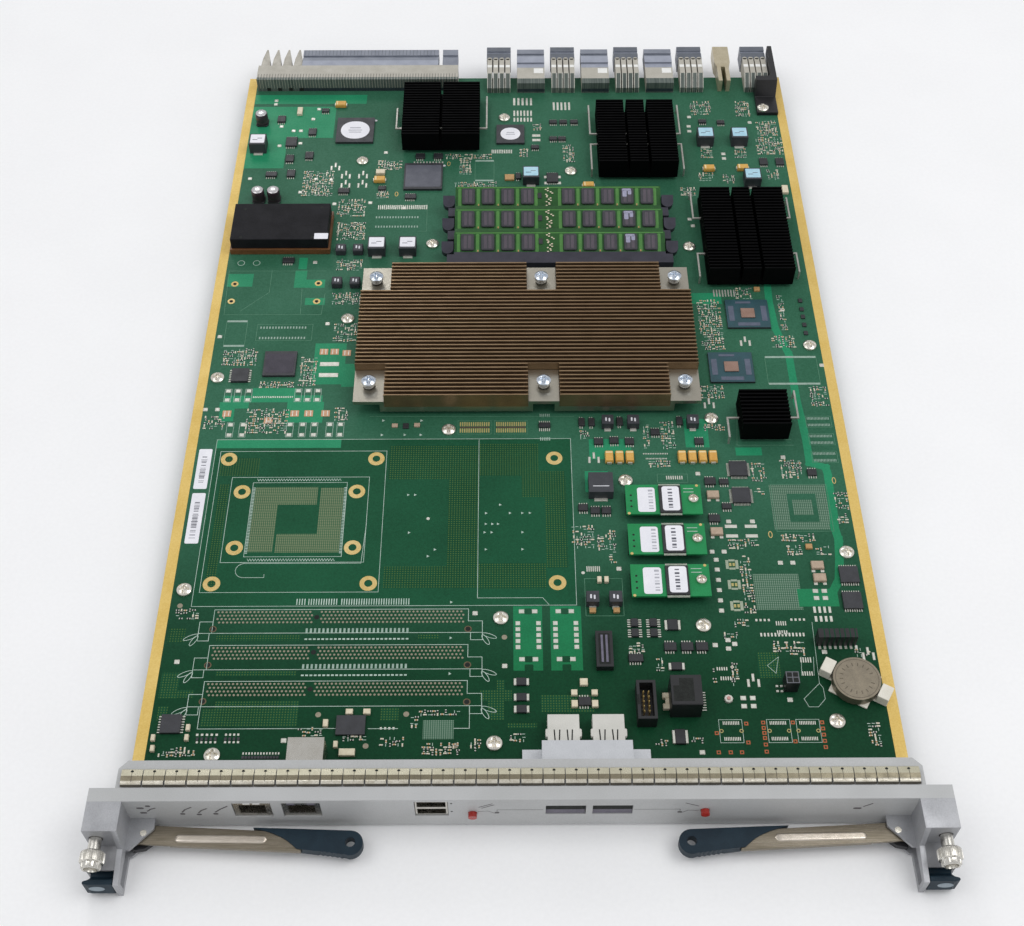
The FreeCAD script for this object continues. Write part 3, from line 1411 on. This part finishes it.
def on_slope(index, up, out):
    """A point at a distance up a module's slope and out from its lower face."""
    foot_z = f"({BOARD_TOP} + module_lift)"
    y = f"({foot_y(index)} + {up} * cos(module_tilt) - {out} * sin(module_tilt))"
    z = f"({foot_z} + {up} * sin(module_tilt) + {out} * cos(module_tilt))"
    return y, z


def tilted_box(name, x, index, up, out, size):
    """A box that leans with a memory module."""
    item = box(name, (x, *on_slope(index, up, out)), size)
    item.Placement.Rotation = FreeCAD.Rotation(FreeCAD.Vector(1, 0, 0), 1)
    bind(item, "Placement.Rotation.Angle", "module_tilt")
    return item


def make_latch(name, x, index):
    """One latch: an arm beside a module's end, with a round lower end on which it swings."""
    low = "(module_thick - latch_thick) / 2"
    up = "(module_seat + latch_width / 2)"
    arm = tilted_box(f"{name}_arm", x, index, up, low,
                     ("latch_width", "latch_length - latch_width / 2", "latch_thick"))
    end = cylinder(f"{name}_end", (f"{x} + latch_width / 2", *on_slope(index, up, low)),
                   "latch_width / 2", "latch_thick")
    end.Placement.Rotation = FreeCAD.Rotation(FreeCAD.Vector(1, 0, 0), 1)
    bind(end, "Placement.Rotation.Angle", "module_tilt")
    keep(fuse(name, [arm, end]), name)


def make_memory():
    """Three leaning modules in low sockets, one behind the other, with a latch at each end."""
    sockets = []
    boards = []
    chips = []
    for index in range(3):
        shell = box(f"socket_shell_{index}",
                    (f"{MEMORY_LEFT} - socket_end", f"{foot_y(index)} + module_seat - socket_depth", BOARD_TOP),
                    ("module_length + 2 * socket_end", "socket_depth", "socket_height"))
        slot = tilted_box(f"socket_slot_{index}", f"{MEMORY_LEFT} - socket_fit", index, "-socket_fit",
                          "-socket_fit", ("module_length + 2 * socket_fit", "module_height",
                                          "module_thick + 2 * socket_fit"))
        rooms = [slot]
        for side, x in enumerate((f"{MEMORY_LEFT} - socket_end - latch_width", f"{MEMORY_LEFT} + module_length")):
            rooms.append(tilted_box(f"latch_room_{index}_{side}", x, index, "(module_seat - latch_gap)",
                                    "((module_thick - latch_thick) / 2 - latch_gap)",
                                    ("socket_end + latch_width", "module_height", "latch_thick + 2 * latch_gap")))
        sockets.append(cut(f"socket_{index}", shell, fuse(f"socket_room_{index}", rooms)))
        boards.append(tilted_box(f"module_{index}", MEMORY_LEFT, index, "0", "0",
                                 ("module_length", "module_height", "module_thick")))
        for number in range(9):
            gap = "memory_chip_gap - memory_chip_pitch" if number > 3 else "0"
            x = f"{MEMORY_LEFT} + memory_chip_inset + {number} * memory_chip_pitch + {gap}"
            chips.append(tilted_box(f"memory_chip_{index}_{number}", x, index, "memory_chip_start",
                                    "module_thick", ("memory_chip_width", "memory_chip_height",
                                                     "memory_chip_thick")))
    group("memory_sockets", sockets)
    group("memory_boards", boards)
    group("memory_chips", chips)
    names = ("front", "middle", "rear")
    for index, name in enumerate(names):
        make_latch(f"left_{name}_memory_latch", f"{MEMORY_LEFT} - latch_gap - latch_width", index)
        make_latch(f"right_{name}_memory_latch", f"{MEMORY_LEFT} + module_length + latch_gap", index)


# Other modules and parts on the board.

def make_power_module():
    """The sealed power brick: a brown base board and a black plate over it."""
    base = seated_box("power_module_base", BRICK_SPOT, ("brick_width", "brick_depth", "brick_lift + brick_board"))
    keep(base, "power_module_base")
    size = ("(brick_width - 2 * brick_plate_inset)", "(brick_depth - 2 * brick_plate_inset)", "brick_plate")
    plate = seated_box("power_module_plate", BRICK_SPOT, size, f"{BOARD_TOP} + brick_lift + brick_board")
    keep(plate, "power_module_plate")


def make_flash_boards():
    """Three small flash boards, each on a plug at one end and a spacer at the other."""
    boards = []
    plugs = []
    x = FLASH_BOARD_SPOT[0]
    low = f"({BOARD_TOP} + flash_board_lift)"
    screw_x = f"({x} + flash_board_width / 2 - flash_screw_inset)"
    for index in range(3):
        y = flash_board_middle(index)
        plate = box(f"flash_plate_{index}", (f"{x} - flash_board_width / 2", f"{y} - flash_board_depth / 2", low),
                    ("flash_board_width", "flash_board_depth", "flash_board_thick"))
        hole = cylinder(f"flash_hole_{index}", (screw_x, y, low),
                        "(screw_diameter + screw_clearance) / 2", "flash_board_thick")
        boards.append(cut(f"flash_board_{index}", plate, hole))
        plugs.append(box(f"flash_plug_{index}",
                         (f"{x} - flash_board_width / 2", f"{y} - flash_board_depth / 3", BOARD_TOP),
                         ("flash_plug_width", "flash_board_depth * 2 / 3", "flash_board_lift")))
        sleeve = cylinder(f"flash_sleeve_{index}", (screw_x, y, BOARD_TOP), "flash_spacer_diameter / 2",
                          "flash_board_lift")
        bore = cylinder(f"flash_bore_{index}", (screw_x, y, f"{low} - flash_board_lift / 2 - screw_clearance"),
                        "(screw_diameter + screw_clearance) / 2", "flash_board_lift")
        plugs.append(cut(f"flash_spacer_{index}", sleeve, bore))
    group("flash_boards", boards)
    return plugs


def make_battery():
    """The coin cell and the holder that turns at an angle to the board's edges."""
    x, back = BATTERY_SPOT
    base = document.addObject("PartDesign::Body", "battery_holder")
    keep(base, "battery_holder")
    plan = sketch(base, "holder_plan", "XY_Plane")
    arm = "(holder_arm / 2)"
    reach = "(holder_width / 2 + holder_arm / 2)"
    body_half = "(cell_diameter / 2 - holder_rim)"
    outline(plan, [
        (f"-{reach}", f"-{arm}"), (f"-{body_half}", f"-{arm}"), (f"-{body_half}", f"-{body_half}"),
        (body_half, f"-{body_half}"), (body_half, f"-{arm}"), (reach, f"-{arm}"),
        (reach, arm), (body_half, arm), (body_half, body_half), (f"-{body_half}", body_half),
        (f"-{body_half}", arm), (f"-{reach}", arm),
    ])
    pad(base, plan, "cell_lift")
    posts = sketch(base, "holder_posts", "XY_Plane")
    for side in (-1, 1):
        rectangle(posts, (f"{side} * {reach}", f"-{arm}"),
                  (f"{side} * (cell_diameter / 2 + port_clearance)", arm))
    pad(base, posts, "cell_lift + cell_thick")
    base.Placement.Rotation = FreeCAD.Rotation(FreeCAD.Vector(0, 0, -1), 1)
    bind(base, "Placement.Rotation.Angle", "holder_turn")
    move(base, across(x), along(back), BOARD_TOP)
    cell = cylinder("coin_cell", (across(x), along(back), f"{BOARD_TOP} + cell_lift"), "cell_diameter / 2",
                    "cell_thick")
    keep(cell, "coin_cell")


def make_service_jack():
    """The black jack on the board with its mouth towards the front."""
    x, back = SERVICE_JACK_SPOT
    body = new_body("service_jack")
    front = f"({along(back)} - service_jack_depth / 2)"
    face = sketch(body, "service_face", "XZ_Plane", f"-{front}")
    centred(face, x, f"({BOARD_TOP} + service_jack_height / 2)", "service_jack_width", "service_jack_height")
    pad(body, face, "service_jack_depth", reverse=True)
    mouth = sketch(body, "service_mouth", "XZ_Plane", f"-{front}")
    centred(mouth, x, f"({BOARD_TOP} + service_jack_height / 2)", "service_mouth_width",
            "service_mouth_height")
    pocket(body, mouth, "service_mouth_depth")


def make_box_header():
    """The shrouded pin header, open at the top."""
    x, back = BOX_HEADER_SPOT
    body = new_body("box_header")
    y = along(back)
    plan = sketch(body, "box_header_plan", "XY_Plane", BOARD_TOP)
    centred(plan, x, y, "box_header_width", "box_header_depth")
    pad(body, plan, "box_header_height")
    well = sketch(body, "box_header_well", "XY_Plane", f"{BOARD_TOP} + box_header_height")
    centred(well, x, y, "(box_header_width - 2 * box_header_wall)", "(box_header_depth - 2 * box_header_wall)")
    pocket(body, well, "box_header_height - box_header_floor")


def make_board_headers(extra):
    """Small dark connectors that stand on the board, with the flash boards' plugs and spacers."""
    pieces = [
        seated_box("mezzanine", MEZZANINE_SPOT, ("mezzanine_width", "mezzanine_depth", "mezzanine_height")),
        seated_box("pin_header", PIN_HEADER_SPOT, ("pin_header_width", "pin_header_depth", "pin_header_height")),
        seated_box("power_plug", POWER_PLUG_SPOT, ("power_plug_side", "power_plug_side", "power_plug_height")),
    ]
    group("board_headers", pieces + extra)


def make_capacitors():
    """Moulded tantalum capacitors in rows and alone, and three upright cans."""
    pieces = []
    size = ("tantalum_width", "tantalum_length", "tantalum_height")
    for row_number, ((x, back), count) in enumerate(TANTALUM_ROWS):
        for index in range(count):
            place = (f"({x} + {index} * (tantalum_width + tantalum_gap))", back)
            pieces.append(seated_box(f"tantalum_{row_number}_{index}", place, size))
    for index, spot in enumerate(SINGLE_TANTALUMS):
        pieces.append(seated_box(f"single_tantalum_{index}", spot,
                                 ("tantalum_length", "tantalum_width", "tantalum_height")))
    for index, (x, back) in enumerate(CAN_SPOTS):
        pieces.append(cylinder(f"can_{index}", (across(x), along(back), BOARD_TOP), "can_diameter / 2",
                               "can_height"))
    group("capacitors", pieces)


def make_chokes():
    """Moulded and boxed inductors of four sizes."""
    pieces = []
    for kind, spots in CHOKES.items():
        width = f"{kind}_width" if f"{kind}_width" in SIZES else f"{kind}_side"
        depth = f"{kind}_depth" if f"{kind}_depth" in SIZES else f"{kind}_side"
        for index, spot in enumerate(spots):
            pieces.append(seated_box(f"{kind}_{index}", spot, (width, depth, f"{kind}_height")))
    group("inductors", pieces)


def make_chips():
    """Chip packages, with those under the black heatsinks and the large heatsink."""
    pieces = []
    for kind, spots in CHIPS.items():
        width = f"{kind}_width" if f"{kind}_width" in SIZES else f"{kind}_side"
        depth = f"{kind}_depth" if f"{kind}_depth" in SIZES else f"{kind}_side"
        for index, spot in enumerate(spots):
            pieces.append(seated_box(f"{kind}_{index}", spot, (width, depth, f"{kind}_height")))
    for label, (x, back, width, depth, cuts) in COOLERS.items():
        pieces.append(seated_box(label + "_chip", (x, back), (f"({width} * 0.8)", f"({depth} * 0.8)", "chip_lift")))
    pieces.append(seated_box("processor", SINK_SPOT, ("square_chip_side * 2", "square_chip_side * 2", "sink_lift")))
    group("chip_packages", pieces)


def write_parts():
    """See that everything was built, then write each sub-part to its own file."""
    document.recompute()
    for item in document.Objects:
        if "Invalid" in item.State or "Error" in item.State:
            raise RuntimeError(f"{item.Label} failed: {item.State}")
    os.makedirs("parts", exist_ok=True)
    for item in sub_parts:
        if item.Shape.isNull() or not item.Shape.isValid():
            raise RuntimeError(item.Label + " has no valid shape")
    for item in sub_parts:
        item.Shape.exportStep(f"parts/{item.Label}.step")
        print(item.Label, len(item.Shape.Solids), "solids", round(item.Shape.Volume), "mm3")


make_circuit_board()
make_carrier_tray()
make_board_screws()
make_front_panel()
make_emi_gasket()
make_jack("console_jack", CONSOLE_JACK_X, "console_jack_length")
make_jack("network_jack", NETWORK_JACK_X, "network_jack_length")
make_usb_host_socket()
make_flash_port_cage()
make_flash_port_sockets()
make_indicator_lenses()
make_ejectors()
make_connector_wafers()
make_connector_shrouds()
make_power_blades()
make_guide_module()
make_guide_block()
make_sink_base()
make_fin_stack()
make_heatsink_screws()
for cooler_label, cooler_values in COOLERS.items():
    make_cooler(cooler_label, *cooler_values)
make_heatsink_clips()
make_memory()
make_power_module()
flash_plugs = make_flash_boards()
make_battery()
make_service_jack()
make_box_header()
make_board_headers(flash_plugs)
make_capacitors()
make_chokes()
make_chips()
write_parts()
